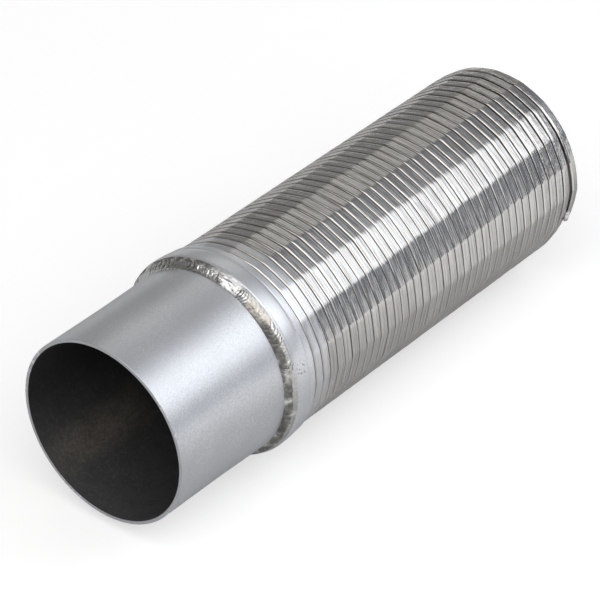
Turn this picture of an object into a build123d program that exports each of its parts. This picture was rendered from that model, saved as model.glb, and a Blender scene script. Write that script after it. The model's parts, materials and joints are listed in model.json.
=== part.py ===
"""Exhaust flex pipe: a steel connector tube welded to a strip-wound, interlocked hose.

Millimetres. The origin is the centre of the connector's open end, +X runs along the pipe
towards the hose's raw end, and +Z is up. The pipe lies on its side, as it comes to rest.
"""
from build123d import *
from math import acos, cos, pi, radians, sin, tan
import os

# Connector tube: true to size at its open end, slightly swollen from there to the weld
tube_od = 101.6
tube_wall = 2.0
tube_straight = 40.0
tube_swell = 1.1
weld_toe_x = 77.2
sleeve_length = 19.0

# Collar over the hose's end
collar_wall = 1.0
collar_edge_wall = 0.85
collar_lip_radius = 4.4
lip_face_angle = 30
lip_inside_face_angle = 45
lip_beyond_weld = 1.6
collar_taper = 0.5
collar_taper_length = 8.0
collar_edge_length = 4.8
collar_clearance = 0.1
lip_clearance = 0.1

# Fillet weld between the tube and the collar's lip
weld_leg = 5.8
weld_crown = 0.55
weld_ripples = 48
ripple_height = 0.3
weld_fit = 0.05

# Strip, as folded
strip_thickness = 0.42
strip_height = 1.75
land_width = 5.35
land_fall = 0.1
web_run = 0.35
flange_width = 4.75
hook_depth = 0.95
hook_clearance = 0.33
hook_catch = 0.46

# Hose, as wound and as its raw end has been pulled about
hose_sides = 19
strip_pitch = 5.9
hose_length = 226.5
strip_cover = 9.0
hose_fit = 0.14
facet_drift = 0.09
strip_end_angle = 198.5
end_stretch = 3.3
end_lean = 4.9
end_lean_angle = 66.5
end_spread_power = 6
end_spring_share = 0.55
end_spring_sides = 12

# Tack weld at the strip's cut end
tack_inset = 0.4
tack_span = 5.5
tack_crown = 0.5

# Places worked out from the sizes above
tube_r = tube_od / 2
tube_weld_r = tube_r + tube_swell / 2
sleeve_end_x = weld_toe_x + sleeve_length
half_side = radians(180 / hose_sides)
hose_corner_r = (tube_weld_r + hose_fit) / cos(half_side) + strip_height
collar_bore_r = hose_corner_r + collar_clearance
lip_centre_r = tube_weld_r + lip_clearance
lip_top_r = lip_centre_r + collar_lip_radius
weld_top_x = weld_toe_x + weld_leg
lip_centre_x = weld_top_x + lip_beyond_weld
collar_taper_x = lip_centre_x + collar_taper_length
collar_end_x = collar_taper_x + collar_edge_length
hose_start_x = collar_end_x - strip_cover
strip_end_x = collar_end_x + hose_length - land_width
hook_slack = flange_width * hook_clearance / hook_catch - (strip_pitch - land_width - web_run)
end_spring = end_spring_share * hook_slack


def revolved(points):
    """Turn a closed outline of (x, radius) points about the pipe's axis."""
    outline = Polyline(*points, close=True)
    return revolve(make_face(Plane.XZ * outline), axis=Axis.X, revolution_arc=360)


def make_connector_tube():
    """A plain tube of even wall, carried on past the weld as the sleeve inside the hose."""
    return revolved(
        [
            (0, tube_r),
            (tube_straight, tube_r),
            (weld_toe_x, tube_weld_r),
            (sleeve_end_x, tube_weld_r),
            (sleeve_end_x, tube_weld_r - tube_wall),
            (weld_toe_x, tube_weld_r - tube_wall),
            (tube_straight, tube_r - tube_wall),
            (0, tube_r - tube_wall),
        ]
    )


def lip_points(radius, face_angle):
    """Points round the lip's quarter turn, from the tube up to the lip's crest."""
    faces = round(90 / face_angle)
    turns = [pi / 2 * face / faces for face in range(faces + 1)]
    return [(lip_centre_x - radius * cos(turn), lip_centre_r + radius * sin(turn)) for turn in turns]


def make_end_collar():
    """A pressed ring: a lip turned in to the tube, a gentle taper, and a straight thin edge."""
    lip_outside = lip_points(collar_lip_radius, lip_face_angle)
    lip_inside = lip_points(collar_lip_radius - collar_wall, lip_inside_face_angle)
    skirt = [
        (collar_taper_x, lip_top_r - collar_taper),
        (collar_end_x, collar_bore_r + collar_edge_wall),
        (collar_end_x, collar_bore_r),
        (collar_taper_x - collar_taper_length / 2, collar_bore_r),
    ]
    return revolved(lip_outside + skirt + lip_inside[::-1])


def make_weld_bead():
    """A fillet weld: its crown rises and falls with each ripple, and its back fits the lip."""
    facet = cos(pi / weld_ripples)
    reach = collar_lip_radius + weld_fit / cos(radians(lip_face_angle / 2))
    top_turn = acos((lip_centre_x - weld_top_x) / reach)
    top_r = lip_centre_r + reach * sin(top_turn)
    toe_r = (tube_weld_r + weld_fit) / facet
    back = [(lip_centre_x - reach, toe_r)]
    for x, r in lip_points(reach, lip_face_angle):
        if x < weld_top_x:
            back.insert(0, (x, r / facet))

    def section(index):
        angle = 2 * pi * index / weld_ripples
        crown = weld_crown + (ripple_height if index % 2 else 0)
        face = [(weld_toe_x, toe_r)]
        for share in (1 / 3, 2 / 3):
            face.append((weld_toe_x + share * weld_leg, toe_r + share * (top_r - toe_r) + crown))
        face.append((weld_top_x, top_r + weld_crown / 2))
        return Wire.make_polygon([Vector(x, r * cos(angle), r * sin(angle)) for x, r in face + back])

    half = weld_ripples // 2
    upper = Solid.make_loft([section(index) for index in range(half + 1)], ruled=True)
    lower = Solid.make_loft([section(index) for index in range(half, weld_ripples + 1)], ruled=True)
    return upper + lower


def strip_profile(is_last_turn):
    """The strip's section as (x, depth below the corner circle): land, web and flange.

    The land's left end is thickened downwards and the flange's right end upwards. The flange
    lies inside the next turn, whose hooked end then holds it, as in the folded strip. The last
    turn has no next one, so its flange is cut back to the web's foot.
    """
    web_x = land_width + web_run
    flange_end = web_x + (strip_thickness if is_last_turn else flange_width)
    flange_top = hook_depth + hook_clearance
    flange_hook = flange_top - (0 if is_last_turn else hook_catch)
    return [
        (0, 0),
        (land_width, land_fall),
        (web_x, flange_top),
        (flange_end, flange_hook),
        (flange_end, strip_height),
        (land_width, strip_height),
        (land_width - strip_thickness, land_fall + strip_thickness),
        (0, hook_depth),
    ]


def strip_place(step_back):
    """Angle, x of the land's left edge, and lean, at a corner counted back from the cut end.

    Towards the raw end the turns are pulled apart and lean over, and the last sides spring
    away from the turn before them, within the slack of their hooks.
    """
    angle = radians(strip_end_angle - step_back * (360 - facet_drift) / hose_sides)
    x = strip_end_x - step_back * strip_pitch / hose_sides
    spread = max(0.0, (x + land_width - collar_end_x) / hose_length) ** end_spread_power
    spring = max(0.0, 1 - step_back / end_spring_sides) ** 2
    return angle, x + end_stretch * spread + end_spring * spring, spread * tan(radians(end_lean))


def leaned(x, r, angle, lean):
    """A point at x, radius and angle, moved along the pipe by the lean of its turn."""
    shift = lean * r * cos(angle - radians(end_lean_angle))
    return Vector(x + shift, r * cos(angle), r * sin(angle))


def strip_section(step_back):
    """One corner's section of the strip, in the radial plane through that corner."""
    angle, start_x, lean = strip_place(step_back)
    points = []
    for x, depth in strip_profile(step_back < hose_sides):
        points.append(leaned(start_x + x, hose_corner_r - depth, angle, lean))
    return Wire.make_polygon(points)


def make_wound_hose():
    """One interlocking strip, wound with flat sides from inside the collar to the raw end."""
    steps = int((strip_end_x - hose_start_x) / strip_pitch * hose_sides)
    return Solid.make_loft([strip_section(step) for step in range(steps, -1, -1)], ruled=True)


def make_tack_weld():
    """The blob in the gap between the strip's cut end and the turn before it."""
    gap = 2 * weld_fit

    def section(share, crown):
        step_back = (tack_inset + share * tack_span) * hose_sides / 360
        angle, last_x, last_lean = strip_place(step_back)
        before_x, before_lean = strip_place(step_back + hose_sides)[1:]
        left_x = before_x + land_width + gap
        right_x = last_x - gap
        flat = cos(half_side) / cos(half_side * (1 - 2 * step_back))
        outline = [
            (left_x, land_fall, before_lean),
            (left_x + web_run, hook_depth - gap, before_lean),
            (right_x, hook_depth - gap, last_lean),
            (right_x, -crown, last_lean),
            ((left_x + right_x) / 2, -2 * crown, (before_lean + last_lean) / 2),
        ]
        points = [leaned(x, (hose_corner_r - depth) * flat, angle, lean) for x, depth, lean in outline]
        return Wire.make_polygon(points)

    sections = [section(0, tack_crown / 2), section(0.5, tack_crown), section(1, tack_crown / 2)]
    return Solid.make_loft(sections, ruled=True)


def main():
    os.makedirs("parts", exist_ok=True)
    pieces = {
        "connector_tube": make_connector_tube(),
        "end_collar": make_end_collar(),
        "weld_bead": make_weld_bead(),
        "wound_hose": make_wound_hose(),
        "tack_weld": make_tack_weld(),
    }
    for name, piece in pieces.items():
        export_step(piece, f"parts/{name}.step")


main()
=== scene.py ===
"""Exhaust flex pipe: the finish and fine shape of each piece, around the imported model.

Everything is in metres, in the model's own frame: the origin is the centre of the tube's
open end, +X runs along the pipe towards the hose's raw end, and +Z is up.
"""

import json
from math import acos, atan2, cos, pi, radians, sin, tan
from types import SimpleNamespace

import bmesh
import bpy
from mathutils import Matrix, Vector


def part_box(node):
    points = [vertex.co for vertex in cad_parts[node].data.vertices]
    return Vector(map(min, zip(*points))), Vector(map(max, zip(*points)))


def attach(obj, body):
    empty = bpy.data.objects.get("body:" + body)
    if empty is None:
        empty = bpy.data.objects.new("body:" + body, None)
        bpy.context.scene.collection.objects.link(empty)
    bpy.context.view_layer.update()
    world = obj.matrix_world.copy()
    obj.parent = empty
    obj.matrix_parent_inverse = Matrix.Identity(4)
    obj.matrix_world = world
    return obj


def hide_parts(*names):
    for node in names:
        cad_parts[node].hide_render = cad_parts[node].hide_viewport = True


bl_info = {
    "name": "Exhaust flex pipe",
    "version": (1, 0, 0),
    "blender": (4, 5, 0),
    "location": "3D View > Sidebar > Flex pipe",
    "description": "Builds a steel tube stub welded to a hose wound from interlocked strip",
    "category": "Object",
}

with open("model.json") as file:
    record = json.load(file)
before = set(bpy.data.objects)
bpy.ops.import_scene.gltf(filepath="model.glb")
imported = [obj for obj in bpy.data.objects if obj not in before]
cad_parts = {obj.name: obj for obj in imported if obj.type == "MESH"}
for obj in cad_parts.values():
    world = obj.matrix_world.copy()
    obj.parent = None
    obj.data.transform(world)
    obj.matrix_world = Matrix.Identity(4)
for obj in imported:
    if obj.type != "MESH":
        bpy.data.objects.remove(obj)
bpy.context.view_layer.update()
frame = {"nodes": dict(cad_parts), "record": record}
mounts = {mount["name"]: mount for mount in frame["record"]["mounts"]}


def mm(millimetres):
    """A length in millimetres, in metres."""
    return millimetres / 1000


TUBE_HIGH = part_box("connector_tube")[1]
COLLAR_LOW, COLLAR_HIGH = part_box("end_collar")
WELD_LOW, WELD_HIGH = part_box("weld_bead")
TUBE_RADIUS = mm(mounts["tube_outside"]["dims"]["r_mm"])
BORE_RADIUS = mm(mounts["tube_bore"]["dims"]["r_mm"])


def size(name, default, description):
    """A length that the user can change."""
    return bpy.props.FloatProperty(
        name=name, description=description, default=default, unit="LENGTH", precision=5
    )


def angle(name, degrees, description):
    """An angle that the user can change."""
    return bpy.props.FloatProperty(
        name=name, description=description, default=radians(degrees), subtype="ANGLE"
    )


def number(name, default, description):
    """A plain number that the user can change."""
    return bpy.props.FloatProperty(name=name, description=description, default=default, precision=3)


def count(name, default, description):
    """A whole number that the user can change."""
    return bpy.props.IntProperty(name=name, description=description, default=default, min=1)


def colour(name, default, description):
    """A colour that the user can change."""
    return bpy.props.FloatVectorProperty(
        name=name, description=description, default=default, subtype="COLOR", size=3, min=0, max=1
    )


class TubeSizes(bpy.types.PropertyGroup):
    """The connector tube."""

    radius: size("Radius", TUBE_RADIUS, "Outside radius at the open end")
    wall: size("Wall", TUBE_RADIUS - BORE_RADIUS, "Thickness of the tube's wall")
    straight: size("Straight", mm(40), "Length that is true to size")
    toe_x: size("Weld's toe", WELD_LOW.x, "Where the weld starts")
    weld_radius: size("Radius at the weld", TUBE_HIGH.z, "Outside radius at the weld and in the hose")
    end_x: size("Sleeve's end", TUBE_HIGH.x, "Where the sleeve inside the hose ends")
    edge: size("Edge", mm(0.3), "Rounding of the cut ends")
    burr: size("Burr", mm(0.09), "Height of the burrs on the cut end")
    columns: count("Columns", 288, "Number of sections round the tube")


class CollarSizes(bpy.types.PropertyGroup):
    """The collar over the hose's end."""

    wall: size("Wall", mm(1), "Thickness of the sheet")
    edge_wall: size("Wall at the edge", mm(0.85), "Thickness of the sheet at its thin edge")
    lip_x: size("Lip's crest", COLLAR_LOW.x + mm(4.4), "Where the lip is at its highest")
    lip_radius: size("Lip's radius", mm(4.4), "Outside radius of the turned-in lip")
    crest_radius: size("Crest radius", COLLAR_HIGH.z, "Outside radius at the lip's crest")
    taper_x: size("Taper's end", COLLAR_LOW.x + mm(12.4), "Where the gentle taper ends")
    taper: size("Taper", mm(0.5), "How much the radius falls along the taper")
    end_x: size("Edge", COLLAR_HIGH.x, "Where the collar's thin edge is")
    bore: size("Bore", mm(54.052), "Inside radius, over the hose")
    crease: size("Crease", mm(0.26), "Depth of the shallow crease beside the edge")
    pits_angle: angle("Pits", 165.5, "Where a few small pits are, round the collar")
    columns: count("Columns", 240, "Number of sections round the collar")


class WeldSizes(bpy.types.PropertyGroup):
    """The fillet weld and the tack weld."""

    leg: size("Leg", WELD_HIGH.x - WELD_LOW.x, "Length of the weld along the tube")
    crown: size("Crown", mm(0.62), "How far the weld's face bulges")
    ripples: count("Ripples", 118, "Number of ripples round the weld")
    ripple: size("Ripple", mm(0.34), "Height of the strongest ripples")
    wobble: number("Wobble", 2.2, "How unevenly the ripples follow each other")
    crescent: number("Crescent", 5, "How far the ripples bend from the middle of the face")
    stop_rings: number("Stop's rings", 0.27, "Rate of the rings round the stop, beside the ripples")
    columns: count("Columns", 1416, "Number of sections round the weld")
    lump: size("Lumps", mm(0.55), "Height of the slow swells of the weld")
    rough: size("Roughness", mm(0.5), "Height of the weld's fine lumps")
    crater_angle: angle("Crater", 118, "Where the weld starts and stops")
    tack_stretch: number("Tack's stretch", 0.25, "How much longer the tack is than as packed")
    tack_mesh: size("Tack's mesh", mm(0.12), "Size of the squares of the tack's mesh")
    tack_lump: size("Tack's lumps", mm(0.75), "Height of the lumps of the tack")
    tack_lump_width: size("Tack lumps' width", mm(1.1), "Width of the lumps of the tack")


class HoseSizes(bpy.types.PropertyGroup):
    """The strip, as folded, and the hose, as wound and pulled about."""

    thickness: size("Thickness", mm(0.42), "Thickness of the strip")
    height: size("Height", mm(1.75), "Height of the folded strip")
    land: size("Land", mm(5.35), "Width of the land, which shows outside")
    land_fall: size("Land's fall", mm(0.1), "How far the land falls towards the web")
    web_run: size("Web's run", mm(0.35), "How far the web leans along the pipe")
    flange: size("Flange", mm(4.75), "Width of the flange, which the next turn covers")
    hook: size("Hook", mm(1.1), "Depth of the land's hooked edge")
    lip_radius: size("Lip's radius", mm(0.2), "Radius of the tight fold at the land's edge")
    lip_slope: angle("Lip's slope", 30, "Slope of the bevel beside the fold")
    lip_bevel: size("Lip's bevel", mm(0.18), "Width of the bevel beside the fold")
    hook_reach: size("Hook's reach", mm(1.6), "Length of the folded-back edges")
    flange_hook: size("Flange's hook", mm(0.82), "Depth of the top of the flange's hook")
    bend: size("Bend", mm(0.45), "Outside radius of the web's bends")
    sides: count("Sides", 19, "Flat sides in each turn")
    pitch: size("Pitch", mm(5.9), "Distance from turn to turn")
    length: size("Length", mm(226.5), "Length of the hose outside the collar")
    cover: size("Cover", mm(9), "Length of the hose under the collar")
    corner_radius: size("Corner radius", mm(53.952), "Radius at the corners of the flat sides")
    corner_share: number("Corner's share", 0.08, "Share of a side that the rounded corner takes")
    side_crown: size("Side's crown", mm(0.2), "How far each flat side bulges")
    round_crown: size("First turns' crown", mm(0.3), "How much more the first turns' sides bulge")
    round_length: size("First turns", mm(34), "Length beside the collar where the sides bulge more")
    turn_jitter: angle("Corner's jitter", 0.55, "How far a corner strays round the pipe")
    radius_jitter: size("Radius jitter", mm(0.06), "How far a corner strays in or out")
    drift: angle("Drift", 0.09, "How far the corners move round, turn by turn")
    end_angle: angle("End angle", 198.5, "Where the strip's cut end is")
    stretch: size("Stretch", mm(3.3), "How far the raw end is pulled out")
    lean: angle("Lean", 4.9, "How far the raw end leans over")
    lean_angle: angle("Lean's angle", 66.5, "The side towards which the raw end leans")
    spread_power: number("Spread's power", 6, "How sharply the stretch and lean set in")
    spring: size("Spring", mm(4.2), "How far the strip's end springs away")
    spring_sides: number("Spring's sides", 9, "How many sides spring away")
    flare: angle("Flare", 7.5, "How far the last turn's land tilts")
    flare_sides: number("Flare's sides", 30, "How many sides tilt, from the strip's end")
    lip_reach: size("Last lip's reach", mm(0.8), "How far the last turn's lip is spread over the gap")
    waver: size("Waver", mm(0.16), "How far the turns wander from their helix")


class Finishes(bpy.types.PropertyGroup):
    """Colours of the metal, the soot and the dust, and of painted light and shade."""

    tube: colour("Tube", (0.70, 0.715, 0.75), "Aluminised steel of the tube")
    collar: colour("Collar", (0.74, 0.755, 0.79), "Aluminised steel of the collar")
    weld: colour("Weld", (0.69, 0.69, 0.685), "Bright weld metal")
    scale: colour("Scale", (0.20, 0.195, 0.185), "Burnt scale on the weld")
    straw: colour("Straw", (0.40, 0.36, 0.31), "Heat tint on the weld's rough patches")
    hose: colour("Hose", (0.55, 0.547, 0.54), "Rolled strip of the hose")
    # The lip's paler, cream colour is a painted highlight on the fold at each turn's edge
    lip: colour("Lip", (0.64, 0.615, 0.58), "Worn edge of each turn")
    # The groove's colour is painted shade, darker down in the grooves between the turns
    groove_shade_colour: colour("Groove", (0.11, 0.082, 0.06), "Dirt down in the grooves of the hose")
    bare: colour("Bare", (0.95, 0.95, 0.95), "Bright bare metal on the tube's cut end")
    bore: colour("Bore", (0.026, 0.0255, 0.026), "Dark inside of the tube")
    # The bore's streak is painted light: lighter and brownish, where light from above falls on the
    # bore's wall
    bore_lit_streak: colour("Bore's streak", (0.15, 0.128, 0.10), "Dust along one side of the bore")


class StageSettings(bpy.types.PropertyGroup):
    """Floor, lights and camera."""

    floor: colour("Floor", (0.52, 0.52, 0.52), "Plain pale floor, beside its own paleness")
    floor_glow: number("Floor's glow", 0.555, "Paleness of the floor as the camera sees it")
    far_glow: number("Far floor's glow", 0.8, "How much paler the floor is far away, as a share")
    floor_radius: size("Floor's radius", 14, "Radius of the floor")
    cool_side: colour("Cool side", (0.255, 0.273, 0.305), "Dim room on the camera's side")
    warm_side: colour("Warm side", (0.282, 0.278, 0.27), "Dim room on the far side")
    lens: number("Lens", 203.63, "Focal length in millimetres on a 36 mm sensor")
    camera: bpy.props.FloatVectorProperty(
        name="Camera", description="Where the camera stands", subtype="TRANSLATION",
        default=(-0.9778, -0.9076, 0.9771),
    )
    camera_pitch: angle("Camera's pitch", 34.05, "How far the camera looks down")
    camera_yaw: angle("Camera's yaw", 38.74, "Which way the camera looks, from +X")


class PipeSettings(bpy.types.PropertyGroup):
    """All settings of the pipe."""

    tube: bpy.props.PointerProperty(type=TubeSizes, name="Tube", description="Connector tube")
    collar: bpy.props.PointerProperty(type=CollarSizes, name="Collar", description="End collar")
    weld: bpy.props.PointerProperty(type=WeldSizes, name="Weld", description="Weld bead and tack")
    hose: bpy.props.PointerProperty(type=HoseSizes, name="Hose", description="Wound hose")
    finish: bpy.props.PointerProperty(type=Finishes, name="Finish", description="Colours")
    stage: bpy.props.PointerProperty(type=StageSettings, name="Stage", description="Stage")


def math_step(operation, swapped=False):
    """A method that adds one Math node. The field is its first value, or its last if swapped."""

    def method(self, *others):
        values = (*others, self) if swapped else (self, *others)
        return add_node(self.tree, "ShaderNodeMath", {"operation": operation}, enumerate(values))

    return method


class Field:
    """A socket of a node tree that takes part in arithmetic: each step adds a node."""

    def __init__(self, tree, socket):
        self.tree = tree
        self.socket = socket

    __add__ = math_step("ADD")
    __radd__ = math_step("ADD", swapped=True)
    __sub__ = math_step("SUBTRACT")
    __rsub__ = math_step("SUBTRACT", swapped=True)
    __mul__ = math_step("MULTIPLY")
    __rmul__ = math_step("MULTIPLY", swapped=True)
    __truediv__ = math_step("DIVIDE")
    __rtruediv__ = math_step("DIVIDE", swapped=True)
    __pow__ = math_step("POWER")
    __mod__ = math_step("FLOORED_MODULO")
    __lt__ = math_step("LESS_THAN")
    __gt__ = math_step("GREATER_THAN")
    above = math_step("MAXIMUM")
    below = math_step("MINIMUM")
    floor = math_step("FLOOR")
    sine = math_step("SINE")
    cosine = math_step("COSINE")
    root = math_step("SQRT")
    exponential = math_step("EXPONENT")
    bearing = math_step("ARCTAN2")

    def clamped(self):
        """The field kept from 0 to 1."""
        return self.above(0.0).below(1.0)

    def ramp(self, low, high):
        """0 below low, 1 above high, and smooth between them. It falls if low is above high."""
        rises = low < high
        inputs = {
            "Value": self,
            "From Min": min(low, high),
            "From Max": max(low, high),
            "To Min": 0 if rises else 1,
            "To Max": 1 if rises else 0,
        }
        smooth = {"interpolation_type": "SMOOTHSTEP"}
        return add_node(self.tree, "ShaderNodeMapRange", smooth, inputs)

    def parts(self):
        """The three parts of a vector."""
        node = self.tree.nodes.new("ShaderNodeSeparateXYZ")
        fill(node, {0: self})
        return [Field(self.tree, output) for output in node.outputs]


def fill(node, inputs):
    """Set a node's inputs, by name or number, to fields or to plain values."""
    for name, value in dict(inputs).items():
        if isinstance(value, Field):
            value.tree.links.new(value.socket, node.inputs[name])
        else:
            node.inputs[name].default_value = value


def add_node(tree, kind, settings=(), inputs=(), output=0):
    """Add a node with its settings and inputs, and give one of its outputs as a field."""
    node = tree.nodes.new(kind)
    for name, value in dict(settings).items():
        setattr(node, name, value)
    fill(node, inputs)
    return Field(tree, node.outputs[output])


def vector(x, y, z):
    """A vector made of a field and two more fields or numbers."""
    return add_node(x.tree, "ShaderNodeCombineXYZ", inputs=enumerate((x, y, z)))


def noise(place, scale, detail=2, roughness=0.5):
    """Smooth noise from 0 to 1, about 0.5."""
    inputs = {"Vector": place, "Scale": scale, "Detail": detail, "Roughness": roughness}
    return add_node(place.tree, "ShaderNodeTexNoise", inputs=inputs)


def label(name):
    """The label of a tree's input, from the name of the setting that it takes."""
    return name.replace("_", " ").capitalize()


def new_tree(name, inputs):
    """A geometry tree with one geometry input and labelled number inputs, and those as fields."""
    tree = bpy.data.node_groups.new(name, "GeometryNodeTree")
    tree.interface.new_socket("Geometry", in_out="INPUT", socket_type="NodeSocketGeometry")
    tree.interface.new_socket("Geometry", in_out="OUTPUT", socket_type="NodeSocketGeometry")
    for key, value in inputs.items():
        kind = "NodeSocketInt" if isinstance(value, int) else "NodeSocketFloat"
        tree.interface.new_socket(label(key), in_out="INPUT", socket_type=kind)
    entry = tree.nodes.new("NodeGroupInput")
    given = {key: Field(tree, entry.outputs[label(key)]) for key in ("geometry", *inputs)}
    return tree, SimpleNamespace(**given)


def picked(settings, names):
    """Some of a group's settings by name, as inputs of a geometry tree."""
    return {name: getattr(settings, name) for name in names}


def circle(points):
    """A closed curve of a given number of points. Their places are set later."""
    kind = "GeometryNodeCurvePrimitiveCircle"
    return add_node(points.tree, kind, {"mode": "RADIUS"}, {"Resolution": points})


def sweep(given, path, caps=False):
    """A tube round a path, and the column and row of each of its points."""
    inputs = {"Curve": path, "Profile Curve": circle(given.rows), "Fill Caps": caps}
    tube = add_node(path.tree, "GeometryNodeCurveToMesh", inputs=inputs)
    index = add_node(path.tree, "GeometryNodeInputIndex")
    column = ((index + 0.5) / given.rows).floor()
    return tube, column, index - column * given.rows


def section_point(given, row):
    """The three numbers that one point of the base mesh holds."""
    place = add_node(row.tree, "GeometryNodeInputPosition")
    inputs = {"Geometry": given.geometry, "Value": place, "Index": row}
    kind = {"data_type": "FLOAT_VECTOR"}
    return add_node(row.tree, "GeometryNodeSampleIndex", kind, inputs).parts()


def end_tree(mesh, place, mark_name, marks, material):
    """Move the points, keep their marks, and close with realised instances and a material."""
    stored = {"data_type": "FLOAT_VECTOR", "domain": "POINT"}
    for kind, settings, inputs in (
        ("SetPosition", (), {"Position": place}),
        ("StoreNamedAttribute", stored, {"Name": mark_name, "Value": marks}),
        ("SetShadeSmooth", (), {}),
        ("RealizeInstances", (), {}),
        ("SetMaterial", (), {"Material": material}),
    ):
        mesh = add_node(mesh.tree, "GeometryNode" + kind, settings, {"Geometry": mesh, **inputs})
    fill(mesh.tree.nodes.new("NodeGroupOutput"), {"Geometry": mesh})


def link_object(name, data):
    """An object for a mesh, a lamp or a camera, linked into the scene."""
    thing = bpy.data.objects.new(name, data)
    bpy.context.scene.collection.objects.link(thing)
    return thing


def modified_mesh(thing):
    """A plain mesh of an object as its modifiers show it."""
    bpy.context.view_layer.update()
    shown = thing.evaluated_get(bpy.context.evaluated_depsgraph_get())
    return bpy.data.meshes.new_from_object(shown)


def grow(name, points, tree, inputs):
    """Run a geometry tree over a base mesh of points and give the result as a plain mesh."""
    base = bpy.data.meshes.new(name + "_points")
    base.from_pydata(points, [], [])
    seed = link_object(name + "_seed", base)
    modifier = seed.modifiers.new("Grow", "NODES")
    modifier.node_group = tree
    values = {label(key): value for key, value in inputs.items()}
    for item in tree.interface.items_tree:
        if item.in_out == "INPUT" and item.name in values:
            modifier[item.identifier] = values[item.name]
    mesh = modified_mesh(seed)
    seed.modifiers.remove(modifier)
    bpy.data.objects.remove(seed)
    return mesh


def place_piece(name, mesh, node, sharp=40):
    """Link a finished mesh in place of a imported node, outside outwards, with even shading."""
    shape = bmesh.new()
    shape.from_mesh(mesh)
    bmesh.ops.remove_doubles(shape, verts=shape.verts, dist=mm(0.001))
    bmesh.ops.recalc_face_normals(shape, faces=shape.faces)
    shape.to_mesh(mesh)
    shape.free()
    mesh.shade_smooth()
    mesh.set_sharp_from_angle(angle=radians(sharp))
    piece = link_object(name, mesh)
    weights = piece.modifiers.new("Even shading", "WEIGHTED_NORMAL")
    weights.keep_sharp = True
    even = modified_mesh(piece)
    piece.modifiers.remove(weights)
    piece.data = even
    even.name = name
    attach(piece, "root")
    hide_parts(node)


def round_corner(points, index, radius, steps=4):
    """Replace one corner of a closed outline by a curve that starts radius away from it."""
    before, corner, after = (Vector(points[(index + shift) % len(points)]) for shift in (-1, 0, 1))
    start = corner + (before - corner).normalized() * radius
    end = corner + (after - corner).normalized() * radius
    curve = []
    for step in range(steps + 1):
        share = step / steps
        middle = corner * 2 * share * (1 - share)
        curve.append(tuple(start * (1 - share) ** 2 + middle + end * share ** 2))
    return curve


def revolve(outline, columns, shift):
    """A closed outline of (x, radius) turned about the pipe's axis. shift moves each x a little."""
    mesh = bpy.data.meshes.new("revolved")
    points = []
    faces = []
    rows = len(outline)
    for column in range(columns):
        turn = 2 * pi * column / columns
        points += [(x + shift(x, r, turn), r * cos(turn), r * sin(turn)) for x, r in outline]
        here = column * rows
        there = (column + 1) % columns * rows
        for row in range(rows):
            above = (row + 1) % rows
            faces.append((here + row, there + row, there + above, here + above))
    mesh.from_pydata(points, [], faces)
    return mesh


def new_material(name):
    """A material, its Principled shader and its Object coordinates."""
    material = bpy.data.materials.new(name)
    material.use_nodes = True
    tree = material.node_tree
    place = add_node(tree, "ShaderNodeTexCoord", output="Object")
    return material, tree.nodes["Principled BSDF"], place


def mix_colours(share, low, high):
    """A colour that goes from low to high with share."""
    low, high = (part if isinstance(part, Field) else (*part, 1) for part in (low, high))
    inputs = {"Factor": share, 6: low, 7: high}
    return add_node(share.tree, "ShaderNodeMix", {"data_type": "RGBA"}, inputs, output=2)


def coated(base, *coats):
    """A colour with coats over it, each with the share that it covers."""
    for share, coat in coats:
        base = mix_colours(share, base, coat)
    return base


def shaded(base, factor):
    """A colour made lighter or darker by a factor."""
    return tuple(min(1, part * factor) for part in base)


def bump(shader, height, distance, strength=0.5):
    """Give a shader's surface fine relief, in metres."""
    inputs = {"Strength": strength, "Distance": distance, "Height": height}
    fill(shader, {"Normal": add_node(height.tree, "ShaderNodeBump", inputs=inputs)})


def mottled(base, cloud, grain, dark, pale, deep):
    """Aluminised steel: clouds between a dark and a pale shade, and grain down to a deep one."""
    clouded = mix_colours(cloud.ramp(0.35, 0.7), shaded(base, dark), shaded(base, pale))
    return mix_colours(grain.ramp(0.25, 0.8), shaded(base, deep), clouded)


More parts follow.
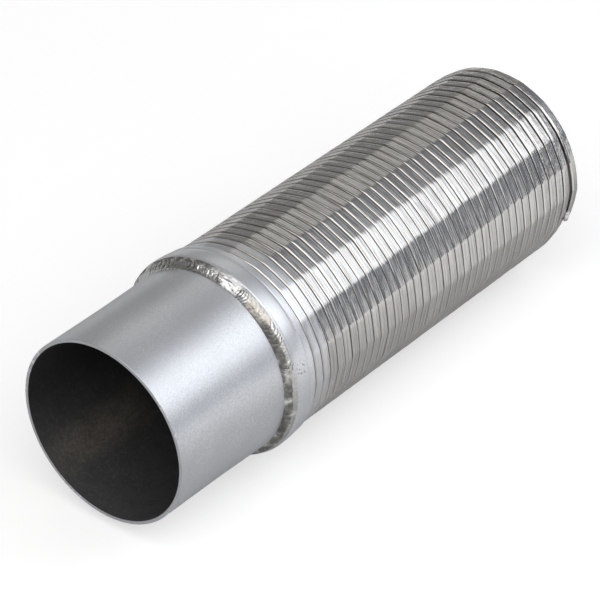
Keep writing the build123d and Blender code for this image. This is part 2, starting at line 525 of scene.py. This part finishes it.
def tube_material(finish, tube):
    """Satin aluminised steel, faintly mottled, and dark inside the tube, with painted shade and light.
    """
    material, shader, place = new_material("tube_steel")
    x, y, z = place.parts()
    swollen = ((x - tube.straight) / (tube.toe_x - tube.straight)).clamped()
    radius = (y * y + z * z).root() - swollen * (tube.weld_radius - tube.radius)
    bore_edge = tube.radius - tube.wall + tube.edge
    outside = radius.ramp(bore_edge - mm(0.25), bore_edge + mm(0.05))
    cloud = noise(place, 26, 4, 0.6)
    grain = noise(place, 1050, 2, 0.75)
    speck = noise(place, 620, 1)
    smudge = noise(place, 135, 3, 0.6)
    edge = x.ramp(mm(0.7), mm(0.3)) * cloud.ramp(0.48, 0.6)
    chips = noise(place, 380, 2, 0.7)
    light = coated(
        mottled(finish.tube, cloud, grain, dark=0.90, pale=1.06, deep=0.78),
        (smudge.ramp(0.52, 0.72) * 0.35, shaded(finish.tube, 0.86)),
        (speck.ramp(0.71, 0.80) * 0.45, shaded(finish.tube, 0.6)),
        (edge * chips.ramp(0.56, 0.60) * 0.8, finish.bare),
        (edge * chips.ramp(0.42, 0.36) * 0.5, shaded(finish.tube, 0.4)),
    )
    rust = noise(place, 90, 4, 0.7)
    fleck = noise(place, 650, 2, 0.7)
    # Painted shade: the bore is darker towards its top, which faces down, away from the light
    painted_top_shade = (z / tube.radius).ramp(-0.75, 0.1)
    # Painted light: a lighter, brownish streak lies low on the far side of the bore, where light from
    # above falls
    lit_streak_side = (y * 0.707 - z * 0.707) / tube.radius
    lit_streak = lit_streak_side.ramp(0.92, 0.995) * x.ramp(mm(-10), mm(25)) * x.ramp(mm(80), mm(50))
    lit_streak = lit_streak * (rust.ramp(0.3, 0.6) * 0.4 + 0.6)
    dust = rust.ramp(0.3, 0.7) * 0.25 + fleck.ramp(0.5, 0.7) * 0.45
    dark = coated(
        shaded(finish.bore, 1.12),
        (painted_top_shade, shaded(finish.bore, 0.22)),
        (dust * (1 - painted_top_shade * 0.7), shaded(finish.bore, 2.6)),
        (lit_streak * (fleck.ramp(0.3, 0.65) * 0.55 + 0.45), finish.bore_lit_streak),
    )
    fill(shader, {
        "Base Color": mix_colours(outside, dark, light),
        "Metallic": outside * 0.8,
        "Roughness": 0.80 - outside * 0.49 + cloud * 0.06 + grain * 0.05,
    })
    bump(shader, grain * 0.8 + cloud, mm(0.03))
    return material


def collar_material(finish, pits_place):
    """Satin aluminised sheet steel, with a few small pits at one place."""
    material, shader, place = new_material("collar_steel")
    cloud = noise(place, 30, 4, 0.55)
    grain = noise(place, 1050, 2, 0.75)
    x, y, z = (part - centre for part, centre in zip(place.parts(), pits_place))
    away = (x * x + y * y + z * z).root()
    pits = noise(place, 620, 2, 0.6).ramp(0.56, 0.64) * away.ramp(mm(5.5), mm(2))
    fill(shader, {
        "Base Color": coated(
            mottled(finish.collar, cloud, grain, dark=0.93, pale=1.04, deep=0.85),
            (pits * 0.8, shaded(finish.collar, 0.3)),
        ),
        "Metallic": 0.8,
        "Roughness": 0.29 + cloud * 0.06 + grain * 0.05 + pits * 0.2,
    })
    bump(shader, grain * 0.4 + cloud - pits * 3.0, mm(0.03))
    return material


def weld_zones(place, toe_x, leg):
    """Soot, straw tint, dark strokes and collar-like metal, by place on the bead.

    A place is known by its bearing round the pipe, from the near side (-Y) up, and by how far
    it is across the bead, from the tube to the collar.
    """
    x, y, z = place.parts()
    bearing = z.bearing(y * -1)

    def beyond(start, end):
        return bearing.ramp(radians(start), radians(end))

    wander = noise(place, 150, 2, 0.6) - 0.5
    across = (x - toe_x) / leg + wander * 0.5
    low = beyond(49, 44)
    high = beyond(84, 92)
    bright = (1 - low) * (1 - high)
    rough = beyond(40, 48) * beyond(63, 58)
    straw = rough + low * beyond(8, 25) * across.ramp(0.36, 0.5) * across.ramp(0.75, 0.6) * 0.5
    soot = low * across.ramp(0.62, 0.45) + high * across.ramp(0.42, 0.6)
    soot = soot + beyond(12, -12) * 0.5 + straw * across.ramp(0.5, 0.3) * 0.55
    stroke_place = vector(bearing * 8.0, across * 3.2, 5.0)
    strokes = noise(stroke_place, 1, 2, 0.6).ramp(0.56, 0.64) * bright
    return soot.below(1.0), straw, strokes, bright * across.ramp(0.60, 0.72)


def weld_material(finish, toe_x, leg):
    """Bright weld metal, burnt and tinted in zones, with dark lines between its ripples."""
    material, shader, place = new_material("weld_metal")
    soot, straw, strokes, collar_like = weld_zones(place, toe_x, leg)
    marks = add_node(place.tree, "ShaderNodeAttribute", {"attribute_name": "ripple"}, output="Vector")
    scallop, strength = marks.parts()[:2]
    blotch = noise(place, 170, 2, 0.6)
    grain = noise(place, 800, 2, 0.65)
    burnt = coated(
        shaded(finish.scale, 0.6), (blotch.ramp(0.3, 0.7), shaded(finish.scale, 1.6))
    )
    fill(shader, {
        "Base Color": coated(
            shaded(finish.weld, 0.85),
            (grain.ramp(0.3, 0.7), shaded(finish.weld, 1.12)),
            (straw * 0.75, finish.straw),
            (strokes * 0.7, shaded(finish.scale, 1.2)),
            (collar_like * 0.7, shaded(finish.weld, 0.72)),
            (soot * blotch.ramp(0.72, 0.5), burnt),
            (scallop.ramp(0.8, 0.35) * strength.ramp(0.2, 0.75) * 0.85, shaded(finish.scale, 0.5)),
        ),
        "Metallic": 0.95 - soot * 0.3,
        "Roughness": 0.25 + soot * 0.17 + collar_like * 0.15 + grain * 0.08,
    })
    bump(shader, grain * 0.25 + blotch * (soot * 0.9 + 0.1) - strokes * 0.4, mm(0.12))
    return material


def tack_material(finish):
    """Pale, lumpy weld metal."""
    material, shader, place = new_material("tack_metal")
    blotch = noise(place, 500, 3, 0.65)
    pale = (blotch.ramp(0.35, 0.65), shaded(finish.weld, 1.3))
    fill(shader, {
        "Base Color": coated(shaded(finish.weld, 0.6), pale),
        "Metallic": 0.7,
        "Roughness": 0.33,
    })
    bump(shader, blotch, mm(0.15))
    return material


def hose_material(finish, hose, hose_end_x):
    """Bright rolled strip: lines along it, painted highlights at edges, painted shade in grooves."""
    material, shader, place = new_material("hose_steel")
    marks = add_node(place.tree, "ShaderNodeAttribute", {"attribute_name": "strip"}, output="Vector")
    along, across, depth = marks.parts()
    x = place.parts()[0]
    start_x = hose_end_x - hose.length

    def strip_noise(length, width, layer, detail=1, roughness=0.5):
        """Noise drawn out along the strip. Each layer has its own."""
        stretched = vector(along / mm(length), across / mm(width), layer)
        return noise(stretched, 1, detail, roughness)

    def near_end(start, end):
        """0 further from the hose's raw end than start, in millimetres, and 1 nearer than end."""
        return x.ramp(hose_end_x - mm(start), hose_end_x - mm(end))

    lines = strip_noise(45, 1.2, 0.0, 2, 0.6)
    streaks = strip_noise(30, 0.75, 6.0)
    fine = strip_noise(20, 0.32, 4.0)
    dents = strip_noise(10, 6, 8.0)
    cloud = noise(place, 55, 3, 0.6)
    # Painted highlight: a paler, cream tint on the fold at each turn's edge
    lip = across.ramp(mm(1.25), mm(0.85)) * depth.ramp(mm(0.75), mm(0.5))
    first_turns = x.ramp(start_x + mm(15), start_x + mm(10))
    speck = noise(place, 480, 2, 0.7).ramp(0.66, 0.72) * near_end(46, 8)
    # Painted shade: darker down in the grooves, less on the first turns and near the raw end
    groove_shade = depth.ramp(mm(0.22), mm(0.6)) * depth.ramp(hose.height - mm(0.08), hose.height - mm(0.25))
    groove_shade = groove_shade * (1 - first_turns * 0.45) * (1 - near_end(13, 6) * 0.6)
    gloss = 0.13 + streaks.ramp(0.45, 0.75) * 0.14 + cloud * 0.07 + speck * 0.25 + groove_shade * 0.3
    fill(shader, {
        "Base Color": coated(
            shaded(finish.hose, 0.78),
            (streaks.ramp(0.32, 0.68), shaded(finish.hose, 1.14)),
            (cloud.ramp(0.4, 0.75) * 0.4, shaded(finish.hose, 0.8)),
            (first_turns * 0.75, finish.collar),
            (lip * 0.8, finish.lip),
            (speck * 0.5, shaded(finish.hose, 1.4)),
            (groove_shade * 0.9, finish.groove_shade_colour),
        ),
        "Metallic": 1.0,
        "Roughness": gloss + first_turns * 0.14,
    })
    end_dents = noise(place, 230, 2, 0.55) * near_end(48, 10)
    bump(shader, lines + fine * 0.07 + dents + end_dents * 1.5, mm(0.26), 1.0)
    return material


class PIPE_OT_connector_tube(bpy.types.Operator):
    """Make the connector tube, with its rounded, slightly burred open end"""

    bl_idname = "flex_pipe.connector_tube"
    bl_label = "Connector tube"

    def execute(self, context):
        settings = context.scene.flex_pipe
        tube = settings.tube
        outer = [
            (0, tube.radius),
            (tube.straight, tube.radius),
            (tube.toe_x, tube.weld_radius),
            (tube.end_x, tube.weld_radius),
        ]
        corners = outer + [(x, r - tube.wall) for x, r in reversed(outer)]
        cut_corners = (0, 3, 4, 7)
        bend_length = mm(6)
        burred_length = mm(0.4)
        outline = []
        for index in range(len(corners)):
            if index in cut_corners:
                outline += round_corner(corners, index, tube.edge)
            else:
                outline += round_corner(corners, index, bend_length, steps=6)

        def burr(x, r, turn):
            """How far the cut end stands back at its burrs, less on the inner edge."""
            if x >= burred_length:
                return 0
            peaks = sin(23 * turn) * sin(71 * turn + 1) * sin(7 * turn + 2)
            share = 1 if r > tube.radius - tube.wall / 2 else 0.6
            return tube.burr * max(0.0, peaks) * share

        mesh = revolve(outline, tube.columns, burr)
        mesh.materials.append(tube_material(settings.finish, tube))
        place_piece("connector_tube_body", mesh, "connector_tube")
        return {"FINISHED"}


class PIPE_OT_end_collar(bpy.types.Operator):
    """Make the pressed collar over the hose's end"""

    bl_idname = "flex_pipe.end_collar"
    bl_label = "End collar"

    def execute(self, context):
        settings = context.scene.flex_pipe
        collar = settings.collar
        edge_dip = mm(0.12)

        def uneven(x, r, turn):
            """How far the thin edge stands back, unevenly round the hose. The lip stays true."""
            wave = sin(3 * turn + 1) + 0.6 * sin(8 * turn) + 0.3 * sin(21 * turn + 2)
            near_edge = (x - collar.taper_x) / (collar.end_x - collar.taper_x)
            return -edge_dip * max(0.0, min(1.0, near_edge)) * (wave + 1.9)

        mesh = revolve(self.outline(collar), collar.columns, uneven)
        turn = collar.pits_angle
        radius = collar.crest_radius
        pits_place = (collar.lip_x + mm(3), radius * cos(turn), radius * sin(turn))
        mesh.materials.append(collar_material(settings.finish, pits_place))
        place_piece("end_collar_body", mesh, "end_collar")
        return {"FINISHED"}

    def outline(self, collar):
        """The sheet's section: over the lip and the crease to the thin edge, and back inside."""
        crease_start = collar.taper_x - mm(0.6)
        crease_length = mm(2.2)
        crease_steps = 10
        edge_rounding = mm(0.35)
        bore_bevel = mm(0.1)
        inner_end_x = collar.lip_x + mm(4)
        outline = self.lip(collar, collar.lip_radius, 12)
        for share in (0.25, 0.5, 0.75):
            x = collar.lip_x + share * (collar.taper_x - collar.lip_x)
            outline.append((x, collar.crest_radius - share * share * collar.taper))
        taper_radius = collar.crest_radius - collar.taper
        edge_radius = collar.bore + collar.edge_wall
        for step in range(crease_steps + 1):
            share = step / crease_steps
            x = crease_start + share * crease_length
            fall = collar.crease * sin(pi * share) ** 2
            outline.append((x, taper_radius + (edge_radius - taper_radius) * share * 0.5 - fall))
        rim = [outline[-1], (collar.end_x, edge_radius), (collar.end_x, collar.bore)]
        outline += round_corner(rim, 1, edge_rounding)
        outline.append((collar.end_x, collar.bore + bore_bevel))
        outline.append((collar.end_x - bore_bevel, collar.bore))
        outline.append((inner_end_x, collar.bore))
        return outline + self.lip(collar, collar.lip_radius - collar.wall, 8)[::-1]

    def lip(self, collar, radius, steps):
        """The quarter turn of the lip, from the tube up to the crest, as (x, radius) points."""
        centre = collar.crest_radius - collar.lip_radius
        points = []
        for step in range(steps + 1):
            turn = pi / 2 * step / steps
            points.append((collar.lip_x - radius * cos(turn), centre + radius * sin(turn)))
        return points


# Settings of the weld that the geometry tree takes as they are
WELD_INPUTS = (
    "columns", "ripples", "ripple", "wobble", "crescent", "stop_rings", "lump", "rough", "crater_angle",
)
# Where the weld's face looks: back along the pipe, and outwards
FACE_OUTWARD = (-0.577, 0.816)


def weld_section(tube, collar, weld):
    """The weld's section: points of (x, radius, share across the face, or -1 at the back)."""
    clearance = mm(0.05)
    face_rows = 22
    back_rows = 5
    toe = Vector((tube.toe_x, tube.weld_radius - clearance))
    reach = collar.lip_radius - clearance
    lip_centre = Vector((collar.lip_x, collar.crest_radius - collar.lip_radius))
    top_turn = acos((collar.lip_x - (tube.toe_x + weld.leg)) / reach)

    def on_lip(turn):
        return lip_centre + reach * Vector((-cos(turn), sin(turn)))

    top = on_lip(top_turn)
    out = Vector((toe.y - top.y, top.x - toe.x)).normalized()
    points = []
    for row in range(face_rows + 1):
        share = row / face_rows
        place = toe.lerp(top, share) + out * weld.crown * sin(pi * share) ** 0.7
        points.append((place.x, place.y, share))
    for row in range(1, back_rows + 1):
        points.append((*on_lip(top_turn * (1 - row / back_rows)), -1))
    return points


class PIPE_OT_weld_bead(bpy.types.Operator):
    """Make the rippled fillet weld between the tube and the collar's lip"""

    bl_idname = "flex_pipe.weld_bead"
    bl_label = "Weld bead"

    def execute(self, context):
        settings = context.scene.flex_pipe
        weld = settings.weld
        section = weld_section(settings.tube, settings.collar, weld)
        inputs = {"rows": len(section), **picked(weld, WELD_INPUTS)}
        material = weld_material(settings.finish, settings.tube.toe_x, weld.leg)
        mesh = grow("weld_bead", section, self.tree(inputs, material), inputs)
        place_piece("weld_bead_body", mesh, "weld_bead", sharp=60)
        return {"FINISHED"}

    def tree(self, inputs, material):
        """A ring of sections whose crown rises and falls with each ripple."""
        tree, given = new_tree("Weld bead", inputs)
        bead, column, row = sweep(given, circle(given.columns))
        x, radius, share = section_point(given, row)
        turn = column / given.columns * (2 * pi)
        across = turn.cosine()
        up = turn.sine()

        def ring_noise(round_scale, face_scale, roughness=0.5):
            """Noise about 0, at one scale round the ring and at another across the weld's face."""
            place = vector(across * round_scale, up * round_scale, share * face_scale)
            return noise(place, 1, 2, roughness) - 0.5

        def near_crater(away, width):
            """1 at one place beside the crater, falling to 0 a few widths away, in degrees."""
            offset = (turn - (given.crater_angle + radians(away))) / radians(width)
            return (offset * offset * -1).exponential()

        def rings(phase):
            """A rounded ridge for each whole number of the phase, and a sharp valley between."""
            return (phase % 1.0 * pi).sine().above(0.0) ** 0.55

        on_face = share.clamped()
        bulge = (on_face * pi).sine().above(0.0)
        crater = near_crater(-1.5, 4)
        smooth = near_crater(-13, 8)
        coarse = near_crater(10, 7)
        patch = noise(vector(across, up, 0.0), 5.5, 2).ramp(0.42, 0.62)
        from_middle = on_face - 0.45
        crescent = from_middle * from_middle * given.crescent
        passed = turn * given.ripples
        scallop = rings(passed / (2 * pi) + crescent + ring_noise(9.0, 2.0) * given.wobble)
        stop_rings = rings(passed * given.stop_rings + crescent)
        strength = (patch * 0.55 + 0.12 + coarse * 0.3) * (1 - smooth * 0.75) * (1 - crater)
        lump = ring_noise(15.0, 1.6) + ring_noise(8.0, 3.4) * (smooth * 1.6 + 0.5)
        coarseness = (1 - smooth * 0.85 - crater * 0.8 + coarse * 0.9).above(0.05)
        height = scallop * given.ripple * strength * bulge
        height = height + lump * given.lump * (bulge * 0.8 + 0.2)
        height = height - smooth * share.ramp(0.45, 0.8) * bulge * mm(0.45)
        rough = ring_noise(62.0, 7.0, 0.6) * given.rough
        height = height + rough * coarseness * (bulge * 0.75 + 0.25)
        height = height + crater * (stop_rings * given.ripple * 1.5 + mm(0.2)) * bulge
        height = height * (share > -0.5)
        radius = radius + height * FACE_OUTWARD[1]
        place = vector(x + height * FACE_OUTWARD[0], radius * across, radius * up)
        ring_share = scallop * (1 - crater) + stop_rings * crater
        marks = vector(ring_share, strength + crater, 0.0)
        end_tree(bead, place, "ripple", marks, material)
        return tree


class StripPen:
    """Draws a folded strip by its middle line, and gives the outline of its thickness."""

    def __init__(self, place, heading, thickness):
        self.place = Vector(place)
        self.heading = heading
        self.half = thickness / 2
        self.left = []
        self.right = []
        self.mark()

    def ahead(self):
        return Vector((cos(self.heading), sin(self.heading)))

    def mark(self, sides="both"):
        side = Vector((-sin(self.heading), cos(self.heading))) * self.half
        if sides != "right":
            self.left.append(self.place + side)
        if sides != "left":
            self.right.append(self.place - side)

    def straight(self, length):
        self.place = self.place + self.ahead() * length
        self.mark()

    def bend(self, turn, radius, steps):
        """Bend to the left for a turn above 0, about a middle line of that radius.

        The fold's inner side is hidden, so it keeps only the bend's two ends.
        """
        chord = 2 * radius * sin(abs(turn / steps) / 2)
        outer = "left" if turn < 0 else "right"
        for step in range(steps):
            self.heading += turn / steps / 2
            self.place = self.place + self.ahead() * chord
            self.heading += turn / steps / 2
            self.mark("both" if step == steps - 1 else outer)


def strip_sections(hose):
    """The folded strip's section, whole and as cut on the last turn, as (x, depth) points."""
    half = hose.thickness / 2
    pen = StripPen((hose.hook_reach, -(hose.hook - half)), pi, hose.thickness)
    pen.straight(hose.hook_reach - hose.lip_radius - half)
    pen.bend(hose.lip_slope - pi, hose.lip_radius, 4)
    pen.straight(hose.lip_bevel)
    rise = -half - pen.place.y
    pen.bend(-hose.lip_slope, rise / (1 - cos(hose.lip_slope)), 3)
    bend = hose.bend - half
    fall = atan2(hose.land_fall, hose.land)
    slope = atan2(hose.height - hose.thickness - hose.land_fall, hose.web_run)
    pen.heading = -fall
    pen.straight(hose.land - half - bend * tan((slope - fall) / 2) - pen.place.x)
    pen.bend(fall - slope, bend, 3)
    drop = hose.height - half + pen.place.y
    pen.straight((drop - bend * (1 - cos(slope))) / sin(slope))
    pen.bend(slope, bend, 2)
    pen.heading = 0
    foot_x = pen.place.x
    kept = len(pen.left), len(pen.right)
    flange_fold = (hose.height - hose.flange_hook - hose.thickness) / 2
    flange_end = hose.land + hose.web_run + hose.flange
    pen.straight(flange_end - flange_fold - half - foot_x)
    pen.bend(pi, flange_fold, 2)
    pen.straight(hose.hook_reach)
    left, right = ([(point.x, -point.y) for point in side] for side in (pen.left, pen.right))
    cut_x = foot_x + mm(0.15)
    cut_left = left[:kept[0]] + [(cut_x, hose.height - hose.thickness)] * (len(left) - kept[0])
    cut_right = right[:kept[1]] + [(cut_x, hose.height)] * (len(right) - kept[1])
    return left + right[::-1], cut_left + cut_right[::-1]


def corner_strays(side, share):
    """Three numbers from -1 to 1 for each corner, mixed along the side between two corners."""
    strays = [0, 0, 0]
    for corner, weight in ((side, 1 - share), (side + 1.0, share)):
        kind = {"noise_dimensions": "1D"}
        throws = add_node(side.tree, "ShaderNodeTexWhiteNoise", kind, {"W": corner}, output="Color")
        pairs = zip(strays, throws.parts())
        strays = [stray + (throw * 2.0 - 1) * weight for stray, throw in pairs]
    return strays


# Sections in each flat side: one at its corner, one beside it and two further on
COLUMNS_PER_SIDE = 4
# Share of the full tilt that the last turn's land gains on each side
TILT_PER_SIDE = 0.09
# The last turn's lip: sides from the strip's end to its start, and its rise and fall a side
REACH_START = 1.7
REACH_RISE = 0.5
REACH_FALL = 0.2
# Settings of the hose that the geometry tree takes as they are
HOSE_INPUTS = (
    "corner_share", "corner_radius", "side_crown", "round_crown", "round_length", "turn_jitter",
    "radius_jitter", "end_angle", "pitch", "length", "stretch", "lean_angle", "spread_power",
    "spring", "spring_sides", "flare_sides", "lip_reach", "waver",
)


class PIPE_OT_wound_hose(bpy.types.Operator):
    """Make the hose: one folded strip, wound with flat sides and hooked turn to turn"""

    bl_idname = "flex_pipe.wound_hose"
    bl_label = "Wound hose"

    def execute(self, context):
        settings = context.scene.flex_pipe
        hose = settings.hose
        collar = settings.collar
        whole, cut = strip_sections(hose)
        strip_end = collar.end_x + hose.length - hose.land
        steps = int((strip_end - collar.end_x + hose.cover) / hose.pitch * hose.sides)
        inputs = {
            **picked(hose, HOSE_INPUTS),
            "columns": COLUMNS_PER_SIDE * steps + 1,
            "rows": len(whole),
            "steps": float(steps),
            "sides": float(hose.sides),
            "turn": 2 * pi - hose.drift,
            "strip_end": strip_end,
            "collar_end": collar.end_x - hose.land,
            "lean": tan(hose.lean),
            "flare": tan(hose.flare),
        }
        material = hose_material(settings.finish, hose, collar.end_x + hose.length)
        sections = [(x, depth, 0) for x, depth in whole + cut]
        mesh = grow("wound_hose", sections, self.tree(inputs, material), inputs)
        place_piece("wound_hose_strip", mesh, "wound_hose")
        return {"FINISHED"}

    def tree(self, inputs, material):
        """The strip's section carried along a helix of flat sides with rounded corners."""
        tree, given = new_tree("Wound hose", inputs)
        line = add_node(tree, "GeometryNodeCurvePrimitiveLine")
        path = add_node(
            tree, "GeometryNodeResampleCurve", {"mode": "COUNT"},
            {"Curve": line, "Count": given.columns},
        )
        strip, column, row = sweep(given, path, caps=True)

        # Where a column is: its side, its share of that side, and its sides back from the end
        side = ((column + 0.5) / COLUMNS_PER_SIDE).floor()
        quarter = column - side * COLUMNS_PER_SIDE
        rest = 0.5 - given.corner_share
        share = (quarter > 0.5) * given.corner_share + (quarter > 1.5) * rest + (quarter > 2.5) * rest
        back = given.steps - side - share
        last_turn = back < given.sides - 0.001
        section_x, depth = section_point(given, row + last_turn * given.rows)[:2]

        def tilted(sides):
            """How much of the full tilt a land has, by the sides since its tilt began."""
            return (sides * TILT_PER_SIDE).clamped()

        # The angle and the radius of each point
        stray_round, stray_out, stray_along = corner_strays(side, share)
        turn = given.end_angle - back * given.turn / given.sides
        turn = turn + stray_round * given.turn_jitter
        helix_x = given.strip_end - back * given.pitch / given.sides
        tilt = tilted(given.flare_sides - back)
        tilt_before = tilted(given.flare_sides - given.sides - back)
        drop = (tilt * section_x + tilt_before * given.pitch) * given.flare
        half = pi / given.sides
        flat = half.cosine() / (half * (1 - 2 * share)).cosine()
        blunt = (quarter < 0.5) * given.corner_share * half.sine() * half.sine()
        from_collar = helix_x - given.collar_end
        first_turns = (1 - from_collar / given.round_length).clamped()
        crown = given.side_crown + given.round_crown * (first_turns + tilt)
        swell = share * (1 - share) * crown * 4.0 + stray_out * given.radius_jitter
        reach_in = given.radius_jitter + depth + drop
        radius = (given.corner_radius - reach_in) * (flat - blunt) + swell

        # How far along the pipe each point is. The tack weld draws the last two sides back
        wander = noise(vector(turn.cosine(), turn.sine(), helix_x * 30.0), 0.9, 1) - 0.5
        spread = (from_collar / given.length).above(0.0) ** given.spread_power
        shift = spread * given.lean * radius * (turn - given.lean_angle).cosine()
        spring = (1 - back / given.spring_sides).above(0.0) ** 3.0 * (back * 0.5 + 0.5).below(1.0)
        x = helix_x + spread * given.stretch + spring * given.spring
        x = x + section_x + shift + (wander * 2.0 + stray_along * 0.3) * given.waver
        sides_left = given.sides - back
        reached = ((back - REACH_START) * REACH_RISE).clamped() * (sides_left * REACH_FALL).clamped()
        x = x - reached * (1 - section_x / given.pitch).above(0.0) * given.lip_reach

        place = vector(x, radius * turn.cosine(), radius * turn.sine())
        along = back * given.corner_radius * given.turn / given.sides
        end_tree(strip, place, "strip", vector(along, section_x, depth), material)
        return tree


class PIPE_OT_tack_weld(bpy.types.Operator):
    """Make the tack weld at the strip's cut end"""

    bl_idname = "flex_pipe.tack_weld"
    bl_label = "Tack weld"

    def execute(self, context):
        settings = context.scene.flex_pipe
        weld = settings.weld
        shape = bmesh.new()
        shape.from_mesh(frame["nodes"]["tack_weld"].data)
        bmesh.ops.remove_doubles(shape, verts=shape.verts, dist=mm(0.001))
        left_x = min(point.co.x for point in shape.verts)
        for point in shape.verts:
            point.co.x += (point.co.x - left_x) * weld.tack_stretch
        mesh = bpy.data.meshes.new("tack_weld")
        shape.to_mesh(mesh)
        shape.free()
        seed = link_object("tack_seed", mesh)
        remesh = seed.modifiers.new("Remesh", "REMESH")
        remesh.mode = "VOXEL"
        remesh.voxel_size = weld.tack_mesh
        seed.modifiers.new("Smooth", "SMOOTH").iterations = 4
        lumps = bpy.data.textures.new("tack_lumps", "CLOUDS")
        lumps.noise_scale = weld.tack_lump_width
        swell = seed.modifiers.new("Swell", "DISPLACE")
        swell.texture = lumps
        swell.strength = weld.tack_lump
        swell.mid_level = 0.1
        mesh = modified_mesh(seed)
        bpy.data.objects.remove(seed)
        mesh.materials.clear()
        mesh.materials.append(tack_material(settings.finish))
        place_piece("tack_weld_body", mesh, "tack_weld", sharp=60)
        return {"FINISHED"}


class PIPE_OT_stage(bpy.types.Operator):
    """Make the floor, the lamps, the surroundings and the camera"""

    bl_idname = "flex_pipe.stage"
    bl_label = "Stage"

    def execute(self, context):
        settings = context.scene.flex_pipe
        self.make_floor(settings)
        self.make_lamps()
        self.make_surroundings(context.scene, settings.stage)
        self.make_camera(context.scene, settings.stage)
        context.scene.view_settings.view_transform = "Standard"
        return {"FINISHED"}

    def make_floor(self, settings):
        """A wide disc that touches the collar's crest and the hose's raw end."""
        stage = settings.stage
        collar = settings.collar
        hose = settings.hose
        far_x = collar.end_x + hose.length
        slope = (collar.crest_radius - hose.corner_radius) / (far_x - collar.lip_x)
        shape = bmesh.new()
        bmesh.ops.create_circle(shape, cap_ends=True, segments=96, radius=stage.floor_radius)
        for point in shape.verts:
            point.co.z = -collar.crest_radius - mm(0.05) + slope * (point.co.x - collar.lip_x)
        mesh = bpy.data.meshes.new("floor")
        shape.to_mesh(mesh)
        shape.free()
        material, shader, place = new_material("floor")
        x, y = place.parts()[:2]
        camera, glossy, through = (
            add_node(place.tree, "ShaderNodeLightPath", output=f"Is {kind} Ray")
            for kind in ("Camera", "Glossy", "Transmission")
        )
        # Rays off the pipe see the pale floor only on the camera's side, or far away: near the pipe the
        # floor is darker in reflections, a painted shade
        away = (x * x + y * y).root()
        beside = (y * -1).ramp(mm(60), mm(200)) * (x.ramp(mm(110), mm(330)) * 0.85 + 0.15)
        clear = beside.above(away.ramp(0.5, 1.5))
        seen = camera.above((glossy + through) * clear)
        pale = (away.ramp(0.2, 3) * stage.far_glow + 1) * stage.floor_glow
        fill(shader, {
            "Base Color": (*stage.floor, 1),
            "Roughness": 0.9,
            "Specular IOR Level": 0.1,
            "Emission Color": (1, 1, 1, 1),
            "Emission Strength": seen * pale,
        })
        mesh.materials.append(material)
        floor = link_object("floor", mesh)

    def make_lamps(self):
        """A broad lamp overhead, one beyond the pipe with a softer one round it, and two dim ones.

        Each is a soft box that faces the pipe's middle, with a size in metres and a radiance.
        """
        centre = Vector((0.15, 0, 0))
        for name, direction, distance, width, height, radiance, tint in (
            ("overhead", (-0.9, -0.6, 1.6), 1.0, 2.9, 2.5, 1.85, (1, 0.99, 0.975)),
            ("beyond", (0.562, -0.597, 0.573), 1.9, 1.15, 1.15, 1.24, (0.98, 0.99, 1)),
            ("beyond_halo", (0.562, -0.52, 0.643), 2.0, 1.6, 1.5, 0.5, (0.97, 0.985, 1)),
            ("beside", (0.646, 0.414, 0.640), 1.9, 0.8, 0.7, 0.48, (1, 0.98, 0.93)),
            ("front", (-0.35, -0.82, 0.45), 2.2, 1.8, 1.3, 1.1, (1, 0.985, 0.96)),
        ):
            lamp = bpy.data.lights.new(name, "AREA")
            lamp.shape = "RECTANGLE"
            lamp.size = width
            lamp.size_y = height
            lamp.energy = radiance * pi * width * height
            lamp.color = tint
            holder = link_object(name, lamp)
            place = centre + Vector(direction) * distance
            holder.location = place
            holder.rotation_euler = (centre - place).to_track_quat("-Z", "Y").to_euler()

    def make_surroundings(self, scene, stage):
        """A dim room, darker behind the camera than beyond the pipe, and pale to the camera."""
        world = bpy.data.worlds.new("surroundings")
        world.use_nodes = True
        tree = world.node_tree
        x, y = add_node(tree, "ShaderNodeTexCoord", output="Generated").parts()[:2]
        camera = add_node(tree, "ShaderNodeLightPath", output="Is Camera Ray")
        side = mix_colours(y.ramp(-0.6, 0.6), stage.cool_side, stage.warm_side)
        dim = x.ramp(-0.3, 0.4) * 0.65 + 0.35
        fill(tree.nodes["Background"], {
            "Color": mix_colours(camera, side, (1, 1, 1)),
            "Strength": dim.above(camera),
        })
        scene.world = world

    def make_camera(self, scene, stage):
        camera = bpy.data.cameras.new("camera")
        camera.lens = stage.lens
        camera.sensor_width = 36
        camera.clip_end = 100
        holder = link_object("camera", camera)
        holder.location = stage.camera
        holder.rotation_euler = (pi / 2 - stage.camera_pitch, 0, stage.camera_yaw - pi / 2)
        scene.camera = holder


class PIPE_PT_sidebar(bpy.types.Panel):
    """Sizes, colours and the steps that build the pipe"""

    bl_label = "Flex pipe"
    bl_idname = "PIPE_PT_sidebar"
    bl_space_type = "VIEW_3D"
    bl_region_type = "UI"
    bl_category = "Flex pipe"

    def draw(self, context):
        settings = context.scene.flex_pipe
        for part in settings.__annotations__:
            group = getattr(settings, part)
            box = self.layout.box()
            for name in group.__annotations__:
                box.prop(group, name)
        for step in STEPS:
            self.layout.operator(step.bl_idname)


STEPS = (
    PIPE_OT_stage,
    PIPE_OT_connector_tube,
    PIPE_OT_end_collar,
    PIPE_OT_weld_bead,
    PIPE_OT_wound_hose,
    PIPE_OT_tack_weld,
)
CLASSES = (
    TubeSizes, CollarSizes, WeldSizes, HoseSizes, Finishes, StageSettings, PipeSettings,
    *STEPS, PIPE_PT_sidebar,
)


def register():
    for kind in CLASSES:
        bpy.utils.register_class(kind)
    bpy.types.Scene.flex_pipe = bpy.props.PointerProperty(
        type=PipeSettings, name="Flex pipe", description="Settings of the flex pipe"
    )


def unregister():
    del bpy.types.Scene.flex_pipe
    for kind in reversed(CLASSES):
        bpy.utils.unregister_class(kind)


def main():
    register()
    for step in STEPS:
        group, name = step.bl_idname.split(".")
        getattr(getattr(bpy.ops, group), name)()


if __name__ == "__main__":
    main()
